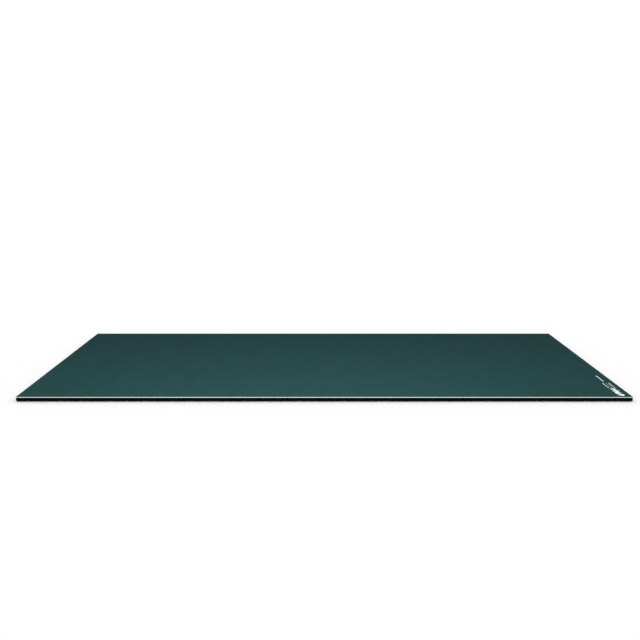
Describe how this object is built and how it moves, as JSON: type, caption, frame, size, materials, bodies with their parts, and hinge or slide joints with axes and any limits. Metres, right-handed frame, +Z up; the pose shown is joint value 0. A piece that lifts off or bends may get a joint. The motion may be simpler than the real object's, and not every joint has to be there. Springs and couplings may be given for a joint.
{
  "type": "folding poker table top",
  "caption": "Flat rectangular folding card table top with padded dark green playing cloth, black edge band, underside hinges, locking hooks and rubber feet.",
  "frame": {"origin": "centre of the footprint, level with the bottom of the rubber feet", "axes": "+X along the length to the player's right, +Y towards the back, +Z up out of the playing surface"},
  "size_m": [1.8, 0.9, 0.0156],
  "materials": {
    "playing_cloth": "close-woven polyester speed cloth, satin",
    "foam": "closed-cell foam, cut edge",
    "board": "raw fibreboard",
    "edge_band": "black ABS edge band, matte",
    "backing": "black resin-faced backing, fine pebble",
    "rubber": "moulded rubber, matte",
    "hinge_steel": "zinc plated",
    "pin_steel": "drawn steel",
    "screw_steel": "zinc plated",
    "hook_steel": "zinc plated",
    "white_print": "heat-transfer print"
  },
  "bodies": {
    "left_half": {"left_core_board": "board", "left_edge_band": "edge_band", "left_backing_sheet": "backing", "left_foam_underlay": "foam", "left_playing_cloth": "playing_cloth", "left_feet": "rubber", "left_hinge_screws": "screw_steel", "front_hinge_left_leaf": "hinge_steel", "middle_hinge_left_leaf": "hinge_steel", "rear_hinge_left_leaf": "hinge_steel", "front_hinge_pin": "pin_steel", "middle_hinge_pin": "pin_steel", "rear_hinge_pin": "pin_steel", "front_hook_pivot_screw": "screw_steel", "rear_hook_pivot_screw": "screw_steel"},
    "right_half": {"right_core_board": "board", "right_edge_band": "edge_band", "right_backing_sheet": "backing", "right_foam_underlay": "foam", "right_playing_cloth": "playing_cloth", "right_feet": "rubber", "right_hinge_screws": "screw_steel", "front_hinge_right_leaf": "hinge_steel", "middle_hinge_right_leaf": "hinge_steel", "rear_hinge_right_leaf": "hinge_steel", "front_hook_stud": "screw_steel", "rear_hook_stud": "screw_steel", "corner_print": "white_print"},
    "front_hook": {"front_hook": "hook_steel"},
    "rear_hook": {"rear_hook": "hook_steel"}
  },
  "joints": [
    {"name": "fold", "type": "hinge", "parent": "left_half", "child": "right_half", "pos_m": [0, 0, 0.0022], "axis": [0, 1, 0], "range_deg": [0, 179.7]},
    {"name": "front_hook_turn", "type": "hinge", "parent": "left_half", "child": "front_hook", "pos_m": [-0.02, -0.18, 0.00315], "axis": [0, 0, 1], "range_deg": [0, 90]},
    {"name": "rear_hook_turn", "type": "hinge", "parent": "left_half", "child": "rear_hook", "pos_m": [-0.02, 0.18, 0.00315], "axis": [0, 0, -1], "range_deg": [0, 90]}
  ]
}
